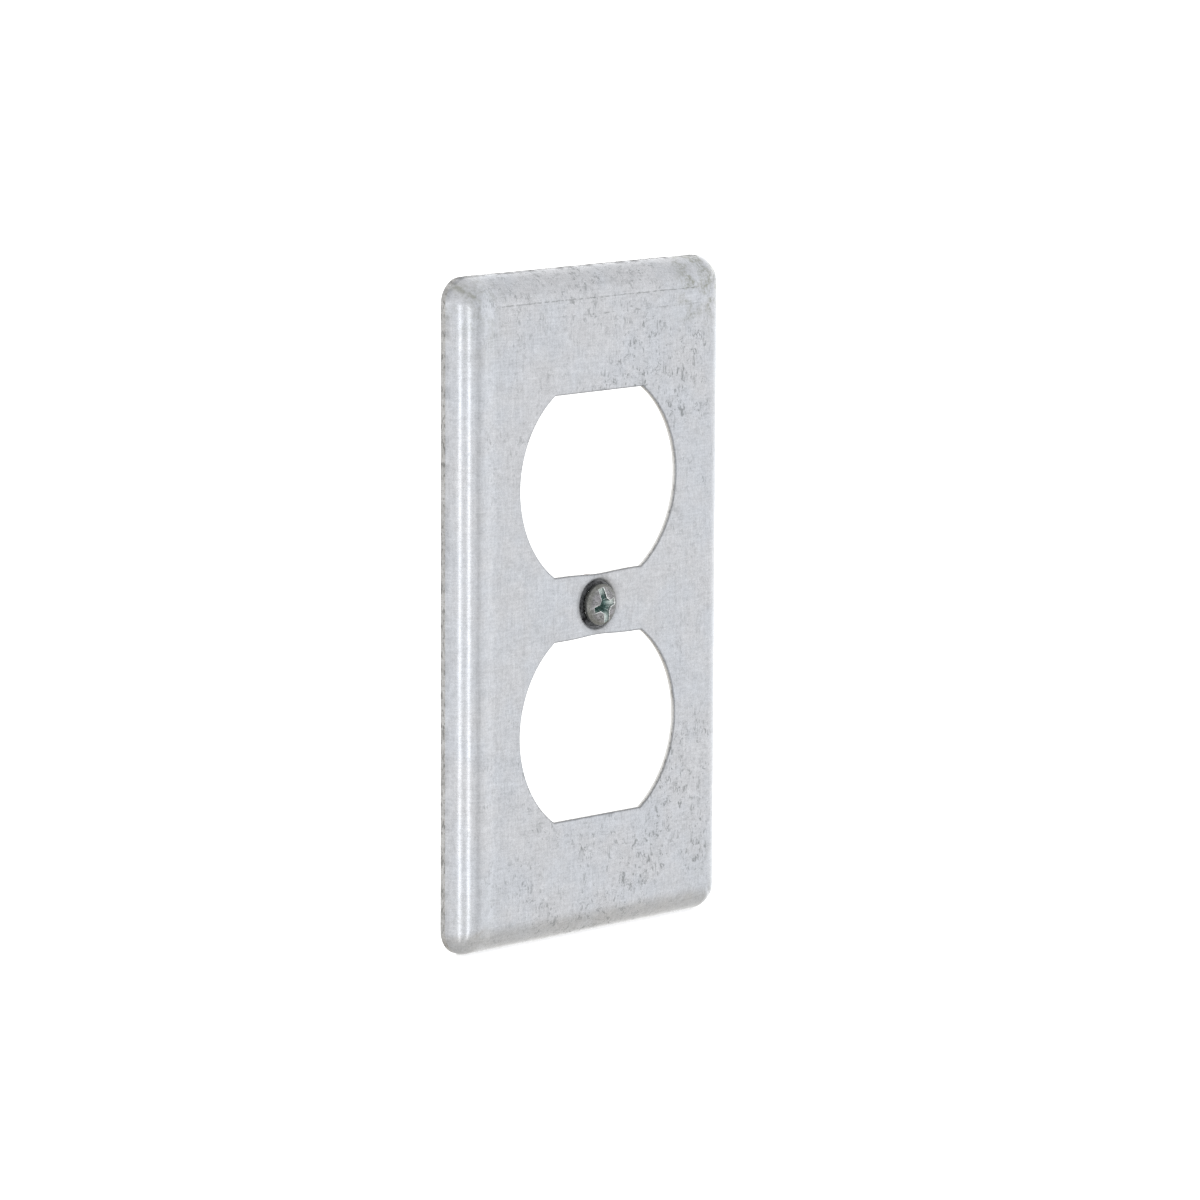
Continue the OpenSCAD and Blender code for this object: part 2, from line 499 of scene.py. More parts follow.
def lofted(name, sections):
    """A closed helper in millimetres, from stacked sections of (x, y, z) points."""
    count = len(sections[0])
    last = (len(sections) - 1) * count
    faces = [tuple(range(count)), tuple(range(last, last + count))]
    for level in range(len(sections) - 1):
        for i in range(count):
            a, b = level * count + i, level * count + (i + 1) % count
            faces.append((a, b, b + count, a + count))
    mesh = bpy.data.meshes.new(name)
    mesh.from_pydata([p for section in sections for p in section], [], faces)
    work = bmesh.new()
    work.from_mesh(mesh)
    bmesh.ops.recalc_face_normals(work, faces=work.faces)
    work.to_mesh(mesh)
    work.free()
    helper = bpy.data.objects.new(name, mesh)
    bpy.context.scene.collection.objects.link(helper)
    return helper


def dome_height(radius):
    """Height of the head's oval dome above the face at a radius from its axis."""
    return DOME_TOP - DOME_H + DOME_H * np.sqrt(np.maximum(1 - (radius / HEAD_R) ** 2, 0))


def head_solid():
    """The head before its recess is struck: dome, edge, cone and a stub of shank."""
    edge_top = DOME_TOP - DOME_H
    turns = np.linspace(1.56, 0.1, 26)
    dome = [(HEAD_R * math.cos(t), edge_top + DOME_H * math.sin(t)) for t in turns]
    neck = edge_top - EDGE_H - (HEAD_R - THREAD_ROOT_R) / math.tan(HEAD_HALF_ANGLE)
    rest = [
        (HEAD_R, edge_top - 0.04),
        (HEAD_R - 0.01, edge_top - EDGE_H + 0.05),
        (HEAD_R - 0.08, edge_top - EDGE_H - 0.02),
        (THREAD_ROOT_R, neck),
        (THREAD_ROOT_R, neck - 0.5),
    ]
    angles = circle_angles(TURNED_SEGMENTS)
    sections = []
    for radius, z in dome + rest:
        sections.append([(radius * math.cos(a), radius * math.sin(a), z) for a in angles])
    return lofted("head_solid", sections)


# The slot, from its floor up: depth below the dome's top, half width, and its two ends
SLOT_SECTIONS = [(1.0, 0.46, -2.5, 2.1), (0.8, 0.5, -3.0, 2.7), (-1, 0.7, -3.7, 3.4)]


def slot_cutter():
    """The straight slot: wider at the top, with sloped ends that stop inside the head's edge."""
    sections = []
    for below, half, low, high in SLOT_SECTIONS:
        z = DOME_TOP - below
        sections.append([(-half, low, z), (half, low, z), (half, high, z), (-half, high, z)])
    return lofted("slot_cutter", sections)


# The cross, from its floor up: depth below the dome's top, reach of its arms, their half width,
# and the flare between them
CROSS_SECTIONS = [
    (2.40, 0.35, 0.26, 0.05),
    (2.25, 0.62, 0.34, 0.10),
    (1.55, 1.05, 0.40, 0.22),
    (0.95, 1.72, 0.42, 0.34),
    (0.20, 2.36, 0.48, 0.66),
    (-0.80, 3.20, 0.56, 1.05),
]


def cross_cutter():
    """The tapered cross, whose arms get shorter and narrower as they go down."""
    sections = []
    for below, reach, half, flare in CROSS_SECTIONS:
        section = []
        for quarter in range(4):
            c, s = math.cos(quarter * math.pi / 2), math.sin(quarter * math.pi / 2)
            for x, y in ((reach, -half), (reach, half), (half + flare, half), (half, half + flare)):
                section.append((c * x - s * y, s * x + c * y, DOME_TOP - below))
        sections.append(section)
    return lofted("cross_cutter", sections)


def mesh_arrays(mesh):
    """Positions and normals of a mesh's points, and the ends of its edges."""
    co = np.empty(3 * len(mesh.vertices))
    mesh.vertices.foreach_get("co", co)
    normals = np.empty(3 * len(mesh.vertices))
    mesh.vertices.foreach_get("normal", normals)
    ends = np.empty(2 * len(mesh.edges), dtype=int)
    mesh.edges.foreach_get("vertices", ends)
    return co.reshape(-1, 3), normals.reshape(-1, 3), ends.reshape(-1, 2)


def neighbour_mean(values, ends):
    """The mean of each point's neighbours along the edges."""
    total = np.zeros_like(values)
    links = np.zeros(len(values))
    for here, there in ((ends[:, 0], ends[:, 1]), (ends[:, 1], ends[:, 0])):
        np.add.at(total, here, values[there])
        np.add.at(links, here, 1)
    return total / links.reshape(-1, *[1] * (values.ndim - 1))


def add_attribute(mesh, name, values):
    mesh.attributes.new(name, "FLOAT", "POINT").data.foreach_set("value", values)


def weather_head(mesh):
    """Marks the recess and the head's convex edges, painted as glints with some rubbed plating, dents it
    and puts it in the row's frame.
    """
    co, normals, ends = mesh_arrays(mesh)
    radius = np.hypot(co[:, 0], co[:, 1])
    sunk = np.clip((dome_height(radius) - co[:, 2] - 0.08) / 0.5, 0, 1)
    sunk *= (co[:, 2] > -1.2) * (radius < HEAD_R - 0.25)
    rubbed = np.clip(((co - neighbour_mean(co, ends)) * normals).sum(1) / 0.004, 0, 1)
    for _ in range(2):
        rubbed = 0.5 * rubbed + 0.5 * neighbour_mean(rubbed, ends)
    rubbed *= np.clip((0.9 * HEAD_R - radius) / 0.2, 0, 1) * (co[:, 2] > DOME_TOP - DOME_H)
    collar = np.clip((radius - 0.76 * HEAD_R) / (0.16 * HEAD_R), 0, 1) * (1 - sunk)
    add_attribute(mesh, "sunk", sunk)
    add_attribute(mesh, "painted_slot_sheen", sunk * np.clip((radius - 1.3) / 0.6, 0, 1))
    add_attribute(mesh, "rubbed", np.clip(1.6 * rubbed, 0, 1))
    add_attribute(mesh, "collar", collar)
    dents = [0.02 * ripple(x, y, 0.6, 11) + 0.008 * ripple(x + z, y, 0.2, 12) for x, y, z in co]
    co = co + normals * np.array(dents)[:, None]
    placed = np.column_stack((co[:, 0] * MM, FACE_Y - co[:, 2] * MM, co[:, 1] * MM))
    mesh.vertices.foreach_set("co", placed.ravel())
    mesh.update()


# Size of the cubes that the head is rebuilt from, which softens the recess's edges
HEAD_VOXEL = 0.042


def make_head(metal):
    """The screw's head, with its recess struck and its edges softened."""
    head = head_solid()
    cutters = [slot_cutter(), cross_cutter()]
    for cutter in cutters:
        cutter.data.transform(Matrix.Translation(RECESS_SHIFT) @ Matrix.Rotation(SLOT_TURN, 4, "Z"))
        cut = head.modifiers.new("cut", "BOOLEAN")
        cut.operation = "DIFFERENCE"
        cut.solver = "EXACT"
        cut.object = cutter
    remesh = head.modifiers.new("remesh", "REMESH")
    remesh.mode = "VOXEL"
    remesh.voxel_size = HEAD_VOXEL
    soften = head.modifiers.new("soften", "SMOOTH")
    soften.factor = 0.5
    soften.iterations = 5
    depsgraph = bpy.context.evaluated_depsgraph_get()
    mesh = bpy.data.meshes.new_from_object(head.evaluated_get(depsgraph))
    for helper in [head, *cutters]:
        bpy.data.objects.remove(helper)
    weather_head(mesh)
    return finished("screw_head", mesh, [metal], 70)


# Rows of points in each pitch, points in each row, and the depth at which the shank starts
THREAD_ROWS = 22
THREAD_SEGMENTS = 96
THREAD_TOP = 2.0


def thread_radius(turn):
    """Radius over one pitch of the thread: a narrow crest, straight flanks and a rounded root."""
    share = abs((turn % 1) - 0.5) * 2
    return THREAD_ROOT_R + (THREAD_R - THREAD_ROOT_R) * smoothstep(0.08, 0.9, share)


def make_thread(metal):
    """The threaded shank. Its rows of points follow the helix, and it closes at both ends."""
    shell = Shell()
    rings = []
    rows = math.ceil((TIP_DEPTH - THREAD_TOP) / THREAD_PITCH + 2) * THREAD_ROWS
    for row in range(rows):
        ring = []
        for i in range(THREAD_SEGMENTS):
            turn = row / THREAD_ROWS + i / THREAD_SEGMENTS - 1
            angle = 2 * math.pi * i / THREAD_SEGMENTS
            depth = min(max(THREAD_TOP + turn * THREAD_PITCH, THREAD_TOP), TIP_DEPTH)
            run_in = smoothstep(THREAD_TOP + 0.2, THREAD_TOP + 1.1, depth)
            radius = THREAD_ROOT_R + (thread_radius(turn) - THREAD_ROOT_R) * run_in
            radius = min(radius, THREAD_R - max(depth - (TIP_DEPTH - 0.5), 0))
            radius += 0.006 * ripple(6 * angle, depth, 0.7, 13)
            ring.append((radius * math.cos(angle), radius * math.sin(angle), depth))
        rings.append(shell.ring(ring))
    for near, far in zip(rings, rings[1:]):
        for i in range(THREAD_SEGMENTS - 1):
            shell.face((near[i], near[i + 1], far[i + 1], far[i]), 0)
    last = THREAD_SEGMENTS - 1
    for row in range(rows - THREAD_ROWS - 1):
        first = row + THREAD_ROWS
        shell.face((rings[row][last], rings[first][0], rings[first + 1][0], rings[row + 1][last]), 0)
    shell.fan(rings[0], (0, 0, THREAD_TOP), 0)
    shell.fan(rings[-1], (0, 0, TIP_DEPTH), 0)
    return shell.build("screw_thread", [metal], 50)


# ---------------------------------------------------------------- the washer


# Radius of the washer's hole, which clears the thread
WASHER_HOLE_R = 1.8


def make_washer(fibre):
    """A die-cut fibre ring with soft edges and a rough hole."""
    front = (washer_low.y - FACE_Y) / MM
    back = (washer_high.y - FACE_Y) / MM
    outer = washer_high.x / MM
    hole = WASHER_HOLE_R
    shell = Shell()
    profile = [
        (hole, front + 0.12, 1),
        (hole + 0.05, front + 0.03, 0.6),
        (hole + 0.14, front, 0.2),
        ((hole + outer) / 2, front, 0),
        (outer - 0.16, front, 0.1),
        (outer - 0.05, front + 0.03, 0.5),
        (outer, front + 0.12, 1),
        (outer - 0.02, (front + back) / 2, 1),
        (outer, back - 0.12, 1),
        (outer - 0.05, back - 0.03, 0.5),
        (outer - 0.16, back, 0.1),
        ((hole + outer) / 2, back, 0),
        (hole + 0.14, back, 0.2),
        (hole + 0.05, back - 0.03, 0.6),
        (hole, back - 0.12, 1),
        (hole + 0.02, (front + back) / 2, 1),
    ]
    rings = []
    for radius, depth, roughness in profile:
        ring = []
        for angle in circle_angles(TURNED_SEGMENTS):
            x, z = math.cos(angle), math.sin(angle)
            rough = 0.03 * roughness * abs(ripple(9 * x, 9 * z + depth, 1.0, 21))
            away = rough if radius < (hole + outer) / 2 else -rough
            ring.append(((radius + away) * x, (radius + away) * z, depth))
        rings.append(shell.ring(ring))
    shell.loft(rings + [rings[0]], 0)
    return shell.build("fibre_washer", [fibre], 50)


# ---------------------------------------------------------------- materials


class Graph:
    """Short calls for building a node tree."""

    def __init__(self, tree):
        self.tree = tree

    def add(self, kind, **settings):
        node = self.tree.nodes.new(kind)
        for key, value in settings.items():
            setattr(node, key, value)
        return node

    def put(self, target, value):
        """Sets an input socket to a number or colour, or links it to another node's output."""
        if isinstance(value, bpy.types.NodeSocket):
            self.tree.links.new(value, target)
        elif isinstance(value, tuple) and len(target.default_value) == 4:
            target.default_value = (*value, 1)
        else:
            target.default_value = value

    def ramp(self, value, low, high, start=0.0, end=1.0):
        """start below low, end above high, and a smooth change between them."""
        node = self.add("ShaderNodeMapRange", interpolation_type="SMOOTHSTEP")
        names = ("Value", "From Min", "From Max", "To Min", "To Max")
        for name, number in zip(names, (value, low, high, start, end)):
            self.put(node.inputs[name], number)
        return node.outputs["Result"]

    def math(self, operation, a, b=0.0, clamp=False):
        node = self.add("ShaderNodeMath", operation=operation, use_clamp=clamp)
        self.put(node.inputs[0], a)
        self.put(node.inputs[1], b)
        return node.outputs[0]

    def times(self, *values):
        total = values[0]
        for value in values[1:]:
            total = self.math("MULTIPLY", total, value)
        return total

    def plus(self, *values):
        total = values[0]
        for value in values[1:]:
            total = self.math("ADD", total, value)
        return total

    def mix(self, share, first, second, blend="MIX"):
        node = self.add("ShaderNodeMix", data_type="RGBA", blend_type=blend)
        self.put(node.inputs["Factor"], share)
        self.put(node.inputs["A"], first)
        self.put(node.inputs["B"], second)
        return node.outputs["Result"]

    def scaled(self, vector, scale):
        node = self.add("ShaderNodeVectorMath", operation="MULTIPLY")
        self.put(node.inputs[0], vector)
        node.inputs[1].default_value = scale
        return node.outputs[0]


class Surface(Graph):
    """The node tree of one material, with lengths in millimetres."""

    def __init__(self, name):
        self.material = bpy.data.materials.new(name)
        self.material.use_nodes = True
        super().__init__(self.material.node_tree)
        self.tree.nodes.clear()
        self.shader = self.add("ShaderNodeBsdfPrincipled")
        out = self.add("ShaderNodeOutputMaterial")
        self.put(out.inputs["Surface"], self.shader.outputs["BSDF"])
        coords = self.add("ShaderNodeTexCoord")
        self.place = self.scaled(coords.outputs["Object"], (1000, 1000, 1000))
        split = self.add("ShaderNodeSeparateXYZ")
        self.put(split.inputs[0], self.place)
        self.x, self.y, self.z = split.outputs

    def noise(self, size, detail=3.0, roughness=0.55, stretch=(1, 1, 1), distortion=0.0, shift=0.0):
        """Noise of about 0 to 1, with bumps size millimetres across, stretched along each axis."""
        vector = self.scaled(self.place, tuple(1 / (size * s) for s in stretch))
        if shift:
            moved = self.add("ShaderNodeVectorMath", operation="ADD")
            self.put(moved.inputs[0], vector)
            moved.inputs[1].default_value = (shift, shift, shift)
            vector = moved.outputs[0]
        node = self.add("ShaderNodeTexNoise")
        node.inputs["Scale"].default_value = 1.0
        node.inputs["Detail"].default_value = detail
        node.inputs["Roughness"].default_value = roughness
        node.inputs["Distortion"].default_value = distortion
        self.put(node.inputs["Vector"], vector)
        return node.outputs["Fac"]

    def specks(self, size, radius, chance, stretch=(1, 1, 1)):
        """1 in small round marks. radius is a share of size, and chance is how many cells hold one."""
        node = self.add("ShaderNodeTexVoronoi")
        node.inputs["Scale"].default_value = 1.0
        self.put(node.inputs["Vector"], self.scaled(self.place, tuple(1 / (size * s) for s in stretch)))
        pick = self.add("ShaderNodeSeparateColor")
        self.put(pick.inputs[0], node.outputs["Color"])
        held = self.ramp(pick.outputs[0], 1 - chance - 0.01, 1 - chance + 0.01)
        return self.times(self.ramp(node.outputs["Distance"], 0.4 * radius, radius, 1, 0), held)

    def squiggles(self, size, width, stretch, shift):
        """1 along thin wandering lines, where a stretched noise crosses its middle value."""
        level = self.noise(size, 1.5, 0.5, stretch, 0.4, shift)
        away = self.math("ABSOLUTE", self.math("SUBTRACT", level, 0.5))
        return self.ramp(away, 0.3 * width, width, 1, 0)

    def attribute(self, name):
        return self.add("ShaderNodeAttribute", attribute_name=name).outputs["Fac"]

    def tinted(self, colour, tone):
        """The colour with every channel multiplied by tone."""
        grey = self.add("ShaderNodeCombineColor")
        for socket in grey.inputs[:3]:
            self.put(socket, tone)
        return self.mix(1.0, colour, grey.outputs[0], "MULTIPLY")

    def finish(self, colour, roughness, height, metallic, bump_mm):
        """Sets the shader's colour, roughness and bump, whose full height is bump_mm."""
        self.put(self.shader.inputs["Base Color"], colour)
        self.put(self.shader.inputs["Roughness"], roughness)
        self.put(self.shader.inputs["Metallic"], metallic)
        bump = self.add("ShaderNodeBump")
        bump.inputs["Strength"].default_value = 1.0
        bump.inputs["Distance"].default_value = bump_mm * MM
        self.put(bump.inputs["Height"], height)
        self.put(self.shader.inputs["Normal"], bump.outputs["Normal"])
        return self.material


def zinc_marks(n):
    """Dark scratches, dross specks and pits of the zinc, gathered in clusters."""
    cluster = n.times(
        n.ramp(n.noise(8, 3, 0.6, shift=3.1), 0.4, 0.62, 0.25, 1.1),
        n.ramp(n.math("ABSOLUTE", n.z), 4, 28, 0.3, 1.0),
        n.ramp(n.x, -FACE_HALF_W, 0.7 * FACE_HALF_W, 0.65, 1.0),
    )
    broken = n.ramp(n.noise(1.3, 2, 0.6, shift=5.7), 0.52, 0.62)
    upright = n.squiggles(0.5, 0.075, (1, 1, 4.2), 1.3)
    level = n.times(
        n.squiggles(0.5, 0.05, (5, 5, 1), 4.6),
        n.ramp(n.noise(1.7, 2, 0.6, shift=9.2), 0.54, 0.6, 0, 0.4),
    )
    loops = n.times(
        n.squiggles(0.42, 0.06, (1, 1, 1.3), 8.9),
        n.ramp(n.noise(1.4, 2, 0.6, shift=2.2), 0.6, 0.64),
    )
    long_specks = n.specks(1.1, 0.16, 0.3, (1, 1, 2.6))
    round_specks = n.specks(0.8, 0.17, 0.2, (1, 1, 1.2))
    pits = n.times(n.specks(0.45, 0.26, 0.25), n.ramp(n.noise(3, 2, 0.6, shift=4.4), 0.45, 0.6, 0.2, 1.0))
    lines = n.math("MAXIMUM", n.times(upright, broken), n.math("MAXIMUM", level, loops))
    spots = n.plus(n.times(long_specks, 0.8), n.times(round_specks, 0.45), n.times(pits, 0.35))
    on_face = n.ramp(n.math("ABSOLUTE", n.x), FACE_HALF_W - 0.5, FACE_HALF_W + 1.5, 1.0, 0.35)
    return n.math("MULTIPLY", n.plus(n.times(lines, 0.95), spots), n.times(cluster, on_face), clamp=True)


def edge_stain(n):
    """1 in the greenish stains near the corners, most at the upper right, and along their wrinkles, whose
    dark line is stain and painted shade in the crease.
    """
    x, z = n.math("ABSOLUTE", n.x), n.math("ABSOLUTE", n.z)
    every = n.times(n.ramp(x, HALF_W - 11, HALF_W - 6), n.ramp(z, HALF_H - 17, HALF_H - 5, 0, 0.5))
    top_right = n.times(n.ramp(n.x, HALF_W - 14, HALF_W - 8), n.ramp(n.z, HALF_H - 12, HALF_H - 7))
    every = n.times(every, n.ramp(n.z, -10, 10, 0.5, 1.0))
    side = n.math("MAXIMUM", every, n.times(top_right, 1.2))
    blotch = n.ramp(n.noise(3.0, 4, 0.7, shift=6.1), 0.42, 0.58)
    speckle = n.ramp(n.noise(0.55, 3, 0.7), 0.38, 0.6, 0.15, 1.0)
    # Along each corner's wrinkle the darkening is stain and painted shade in the crease.
    over = n.math("SUBTRACT", n.math("SUBTRACT", x, FACE_HALF_W), n.math("SUBTRACT", z, FACE_HALF_H))
    in_wrinkle = n.ramp(n.math("ABSOLUTE", over), 0.2, 1.3, 1, 0)
    corner = n.times(
        n.ramp(x, FACE_HALF_W + 0.6, FACE_HALF_W + 1.8),
        n.ramp(z, FACE_HALF_H + 0.6, FACE_HALF_H + 1.8),
    )
    wrinkle = n.times(in_wrinkle, corner, n.ramp(n.noise(1.1, 2, 0.6), 0.4, 0.6, 0.4, 1.0))
    wrinkle = n.times(wrinkle, n.ramp(n.z, -10, 10, 0.2, 1.0))
    return n.math("MAXIMUM", n.times(side, blotch, speckle), wrinkle)


def bend_line(n):
    """1 along the fine broken lines that the press left where the face meets the top bend."""
    wander = n.times(n.math("SUBTRACT", n.noise(1.0, 2, 0.6), 0.5), 0.35)
    front = n.ramp(n.y, FACE_Y / MM + 0.3, FACE_Y / MM + 0.7, 1, 0)
    span = n.ramp(n.math("ABSOLUTE", n.x), FACE_HALF_W - 3.5, FACE_HALF_W - 1.5, 1, 0)
    total = 0.0
    for level, strength, low in ((FACE_HALF_H + 0.35, 1.0, 0.36), (FACE_HALF_H - 2.2, 0.9, 0.44)):
        away = n.math("ABSOLUTE", n.math("SUBTRACT", n.plus(n.z, wander), level))
        broken = n.ramp(n.noise(1.5, 3, 0.65, shift=level), low, low + 0.2, 0.0, strength)
        total = n.plus(n.times(n.ramp(away, 0.03, 0.15, 1, 0), broken), total)
    return n.times(total, front, span)


def galvanised_skin():
    """Dull zinc: cool and warm clouds, fine mottle, rolling lines, dark marks, corner stains, a painted
    highlight along the face's left edge and painted shade from the sheet's attribute.
    """
    n = Surface("galvanised_skin")
    clouds = n.noise(9, 4, 0.6)
    patches = n.noise(3.2, 3, 0.6)
    mottle = n.noise(0.9, 4, 0.7)
    grain = n.noise(0.3, 2, 0.6, shift=1.7)
    rolled = n.noise(0.34, 3, 0.6, stretch=(1, 1, 10), shift=2.9)
    rubbed = n.noise(0.26, 2, 0.6, stretch=(12, 12, 1), shift=4.1)
    marks = zinc_marks(n)
    base = n.mix(n.ramp(clouds, 0.36, 0.64), (0.556, 0.577, 0.614), (0.572, 0.580, 0.602))
    base = n.mix(n.ramp(patches, 0.3, 0.72, 0.0, 0.3), base, (0.49, 0.496, 0.512))
    # A painted highlight: a brighter strip where the face turns into the left bend.
    painted_edge_highlight = n.ramp(n.math("ABSOLUTE", n.plus(n.x, FACE_HALF_W - 0.4)), 0.2, 1.8, 0.10, 0)
    tone = n.plus(
        0.34,
        n.times(mottle, 0.34),
        n.times(grain, 0.42),
        n.times(rolled, 0.29),
        n.times(rubbed, 0.26),
        painted_edge_highlight,
    )
    colour = n.tinted(base, tone)
    colour = n.mix(n.times(edge_stain(n), 0.62), colour, (0.26, 0.265, 0.22))
    colour = n.mix(n.times(marks, 0.58), colour, (0.16, 0.175, 0.175))
    colour = n.mix(n.times(bend_line(n), 0.6), colour, (0.20, 0.21, 0.21))
    # Near black, not metallic and without specular where the attribute is set: painted shade in the
    # screw's seat, along the openings' rolled edges and under the bottom rim, and dark patches along the
    # rim's lip.
    painted_shade_and_marks = n.times(n.attribute("shade_and_dark_marks"), n.ramp(mottle, 0.3, 0.65, 1.0, 0.8))
    colour = n.mix(painted_shade_and_marks, colour, (0.02, 0.02, 0.022))
    radius = n.math("SQRT", n.plus(n.times(n.x, n.x), n.times(n.z, n.z)))
    lip = n.ramp(radius, SEAT_R - 0.1, SEAT_R + 0.9, 0.32, 0)
    roughness = n.plus(
        0.12,
        n.times(mottle, 0.13),
        n.times(patches, 0.07),
        n.times(marks, 0.25),
        lip,
    )
    n.put(n.shader.inputs["Specular IOR Level"], n.ramp(painted_shade_and_marks, 0.1, 0.6, 0.4, 0.0))
    height = n.plus(
        n.times(mottle, 0.5),
        n.times(grain, 0.25),
        n.times(rolled, 0.25),
        n.times(marks, -0.5),
    )
    return n.finish(colour, roughness, height, n.ramp(painted_shade_and_marks, 0.1, 0.75, 1.0, 0.0), 0.005)


def cut_metal():
    """Sheared steel with zinc smeared over it: warm grey and blotchy with painted glints, soiled at the
    top, darkened as painted shade under the bottom rim and lightened as painted light on the openings'
    torn walls.
    """
    n = Surface("cut_metal")
    drag = n.noise(0.22, 3, 0.6, stretch=(1, 5, 1))
    blotch = n.noise(0.9, 4, 0.65)
    dark = n.times(
        n.ramp(n.noise(0.4, 2, 0.6, stretch=(1, 1, 3.0), shift=3.3), 0.51, 0.58),
        n.ramp(blotch, 0.38, 0.55),
    )
    # Painted glints: pale specks where the burrs would catch the light.
    painted_glints = n.specks(0.8, 0.3, 0.3)
    colour = n.mix(n.ramp(drag, 0.3, 0.7), (0.46, 0.455, 0.445), (0.58, 0.58, 0.58))
    colour = n.mix(n.ramp(blotch, 0.4, 0.7, 0, 0.6), colour, (0.47, 0.46, 0.44))
    colour = n.mix(n.times(dark, 0.62), colour, (0.14, 0.14, 0.135))
    colour = n.mix(n.times(painted_glints, 0.7), colour, (0.85, 0.85, 0.85))
    top = n.ramp(n.math("ABSOLUTE", n.z), HALF_H - 0.5, HALF_H - 0.1)
    patchy = n.ramp(n.noise(0.9, 3, 0.6, shift=6.6), 0.35, 0.6, 1.0, 0.35)
    # It also takes the sheet's attribute: painted shade under the bottom rim, and dark patches along the
    # lip.
    shade_and_soil = n.math("MAXIMUM", n.attribute("shade_and_dark_marks"), n.times(top, patchy))
    colour = n.mix(n.times(shade_and_soil, 0.8), colour, (0.11, 0.11, 0.108))
    # The torn part of the openings' walls, and nothing of the rim, lightened as painted light from behind
    torn_wall_painted_light = n.times(
        n.ramp(n.y, FACE_Y / MM + 0.3, FACE_Y / MM + 0.5),
        n.ramp(n.math("ABSOLUTE", n.x), 20, 24, 1, 0),
        n.ramp(n.math("ABSOLUTE", n.z), 38, 42, 1, 0),
    )
    colour = n.mix(n.times(torn_wall_painted_light, 0.85), colour, (0.78, 0.77, 0.75))
    roughness = n.plus(0.3, n.times(blotch, 0.2), n.times(shade_and_soil, 0.3))
    n.put(n.shader.inputs["Specular IOR Level"], n.ramp(shade_and_soil, 0.1, 0.6, 0.4, 0.0))
    height = n.plus(n.times(drag, 0.6), n.times(blotch, 0.6))
    return n.finish(colour, roughness, height, n.ramp(shade_and_soil, 0.1, 0.8, 1.0, 0.0), 0.02)


def screw_metal():
    """Clear zinc plate: lilac grey on the dome and blue-green in the recess, with a painted reflection at
    the slot's ends and painted glints, with some rubbed plating, along the convex edges.
    """
    n = Surface("screw_metal")
    clouds = n.noise(1.4, 4, 0.6)
    fine = n.noise(0.25, 3, 0.6)
    streaks = n.noise(0.32, 3, 0.65, stretch=(2.2, 1, 1), distortion=1.2, shift=5.2)
    colour = n.mix(n.ramp(clouds, 0.35, 0.65), (0.25, 0.24, 0.26), (0.37, 0.365, 0.38))
    colour = n.mix(n.ramp(streaks, 0.44, 0.6, 0, 0.85), colour, (0.12, 0.125, 0.118))
    colour = n.mix(n.times(n.specks(0.34, 0.34, 0.3), 0.7), colour, (0.62, 0.63, 0.63))
    collar = n.times(n.attribute("collar"), n.ramp(clouds, 0.3, 0.7, 1.0, 0.7))
    colour = n.mix(n.times(collar, 0.85), colour, (0.15, 0.155, 0.135))
    sunk = n.attribute("sunk")
    recess = n.times(sunk, n.ramp(fine, 0.25, 0.75, 1.0, 0.75))
    colour = n.mix(recess, colour, (0.14, 0.245, 0.225))
    # A painted reflection: the slot's ends are paled as if they caught the light.
    painted_slot_sheen = n.times(n.attribute("painted_slot_sheen"), n.ramp(fine, 0.3, 0.6, 0.5, 1.0))
    colour = n.mix(painted_slot_sheen, colour, (0.70, 0.76, 0.74))
    # Near white along the convex edges: painted glints, with some rubbed plating.
    rubbed = n.times(n.attribute("rubbed"), n.ramp(fine, 0.35, 0.55, 0.4, 1.0))
    colour = n.mix(rubbed, colour, (0.92, 0.96, 0.95))
    roughness = n.plus(0.18, n.times(fine, 0.18))
    height = n.plus(n.times(fine, 0.7), n.times(clouds, 0.5))
    dull = n.math("MAXIMUM", n.times(collar, 0.6), sunk)
    n.shader.inputs["Specular IOR Level"].default_value = 0.3
    return n.finish(colour, roughness, height, n.ramp(dull, 0.0, 1.0, 1.0, 0.45), 0.022)


def washer_fibre():
    """Dark red vulcanised fibre: pressed layers at its cut edge and a leathery face."""
    n = Surface("washer_fibre")
    layers = n.noise(0.16, 2, 0.6, stretch=(6, 1, 6))
    strands = n.noise(0.35, 4, 0.7, stretch=(1, 1, 3), distortion=0.6)
    colour = n.mix(n.ramp(strands, 0.3, 0.7), (0.085, 0.022, 0.016), (0.17, 0.05, 0.035))
    colour = n.mix(n.ramp(layers, 0.45, 0.7, 0, 0.4), colour, (0.23, 0.10, 0.07))
    roughness = n.plus(0.5, n.times(strands, 0.2))
    height = n.plus(n.times(strands, 0.6), n.times(layers, 0.5))
    return n.finish(colour, roughness, height, 0.0, 0.03)


# ---------------------------------------------------------------- the studio

# Brightness of the white tent round the cover, and of bands in it: bearing to the left of the
# front in degrees, half width, softness of the edges, added brightness, and whether the band is
# a light that ends at eye level and fades underfoot
TENT = 1.12
STUDIO_BANDS = [
    (32.5, 3.8, 2.6, 1.3, True),
    (64.0, 3.8, 2.6, 1.3, True),
    (-3.0, 8.0, 5.0, -0.24, False),
    (-128.0, 38.0, 28.0, 0.32, False),
]


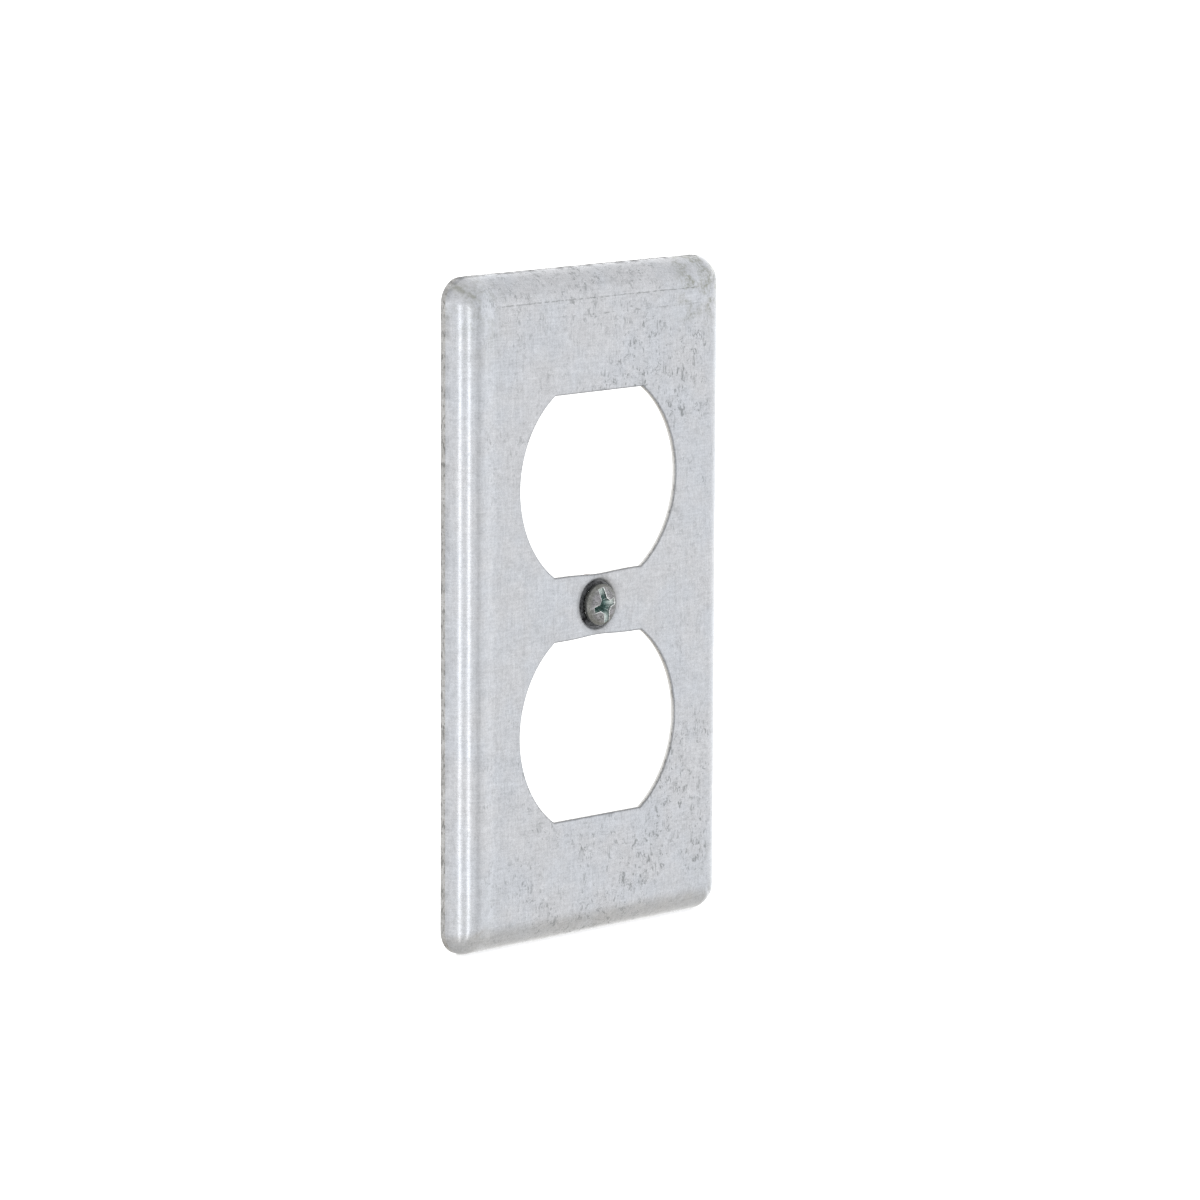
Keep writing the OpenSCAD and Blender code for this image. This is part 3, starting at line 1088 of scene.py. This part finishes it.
def make_world():
    """A white tent with a tall soft light on each side of the camera, dimmer overhead and warmer below."""
    world = bpy.data.worlds.new("studio")
    bpy.context.scene.world = world
    world.use_nodes = True
    world.node_tree.nodes.clear()
    n = Graph(world.node_tree)
    direction = n.add("ShaderNodeSeparateXYZ")
    n.put(direction.inputs[0], n.add("ShaderNodeTexCoord").outputs["Generated"])
    x, y, height = direction.outputs
    turn = n.math("ARCTAN2", n.times(x, -1.0), n.times(y, -1.0))
    bearing = n.times(turn, 180 / math.pi)
    below_eye = n.times(n.ramp(height, -0.08, 0.16, 1, 0), n.ramp(height, -0.9, -0.6))
    near_level = n.ramp(n.math("ABSOLUTE", height), 0.35, 0.75, 1, 0)
    light = TENT
    for centre, half_width, softness, strength, is_lamp in STUDIO_BANDS:
        away = n.math("ABSOLUTE", n.math("SUBTRACT", bearing, centre))
        band = n.ramp(away, half_width - softness, half_width + softness, strength, 0.0)
        light = n.plus(n.times(band, below_eye if is_lamp else near_level), light)
    light = n.times(light, n.ramp(height, 0.1, 0.75, 1.0, 0.87))
    underfoot = n.ramp(height, -0.7, -0.18, 1, 0)
    background = n.add("ShaderNodeBackground")
    n.put(background.inputs["Color"], n.mix(underfoot, (1.0, 1.0, 1.0), (0.76, 0.74, 0.705)))
    n.put(background.inputs["Strength"], light)
    n.put(n.add("ShaderNodeOutputWorld").inputs["Surface"], background.outputs[0])


# How far the floor reaches from the cover, in metres
FLOOR_REACH = 6.0


def make_floor():
    """A plain white floor that the cover stands on. Mirror-like surfaces don't see it."""
    mesh = bpy.data.meshes.new("floor")
    corners = [(FLOOR_REACH * x, FLOOR_REACH * y) for x, y in ((-1, -1), (1, -1), (1, 1), (-1, 1))]
    mesh.from_pydata([(x, y, plate_low.z) for x, y in corners], [], [(0, 1, 2, 3)])
    material = bpy.data.materials.new("floor_white")
    material.use_nodes = True
    shader = material.node_tree.nodes["Principled BSDF"]
    shader.inputs["Base Color"].default_value = (0.9, 0.9, 0.9, 1)
    shader.inputs["Roughness"].default_value = 0.9
    shader.inputs["Emission Color"].default_value = (1, 1, 1, 1)
    shader.inputs["Emission Strength"].default_value = 0.6
    mesh.materials.append(material)
    floor = bpy.data.objects.new("floor", mesh)
    floor.visible_glossy = False
    bpy.context.scene.collection.objects.link(floor)


# Where the camera stands: its bearing, height and roll, its distance in metres from a point just
# off the screw, that point's x and z, and the lens in millimetres
CAMERA_AZIMUTH = math.radians(-45.27)
CAMERA_ELEVATION = math.radians(8.90)
CAMERA_ROLL = math.radians(0.25)
CAMERA_DISTANCE = 0.9658
CAMERA_TARGET = (0.245, 0.636)
CAMERA_LENS = 184.0


def make_camera():
    """A long lens, low and to the left of the cover."""
    a, e, roll = CAMERA_AZIMUTH, CAMERA_ELEVATION, CAMERA_ROLL
    back = Vector((math.sin(a) * math.cos(e), -math.cos(a) * math.cos(e), math.sin(e)))
    level = Vector((math.cos(a), math.sin(a), 0))
    upright = back.cross(level)
    right = math.cos(roll) * level + math.sin(roll) * upright
    up = back.cross(right)
    where = to_row(CAMERA_TARGET[0], CAMERA_TARGET[1], 0) + CAMERA_DISTANCE * back
    camera = bpy.data.objects.new("camera", bpy.data.cameras.new("camera"))
    camera.data.lens = CAMERA_LENS
    camera.data.sensor_width = 36
    camera.data.clip_end = 50
    camera.matrix_world = Matrix.Translation(where) @ Matrix((right, up, back)).transposed().to_4x4()
    bpy.context.scene.collection.objects.link(camera)
    bpy.context.scene.camera = camera
    bpy.context.scene.view_settings.view_transform = "Standard"


make_camera()
make_world()
make_floor()

skin, cut, plated, fibre = galvanised_skin(), cut_metal(), screw_metal(), washer_fibre()

sheet = make_sheet(skin, cut)
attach(sheet, "plate")
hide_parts("cover_plate")

for part in (make_head(plated), make_thread(plated)):
    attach(part, "screw")
    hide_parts("cover_screw")

ring = make_washer(fibre)
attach(ring, "retainer")
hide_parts("retaining_washer")
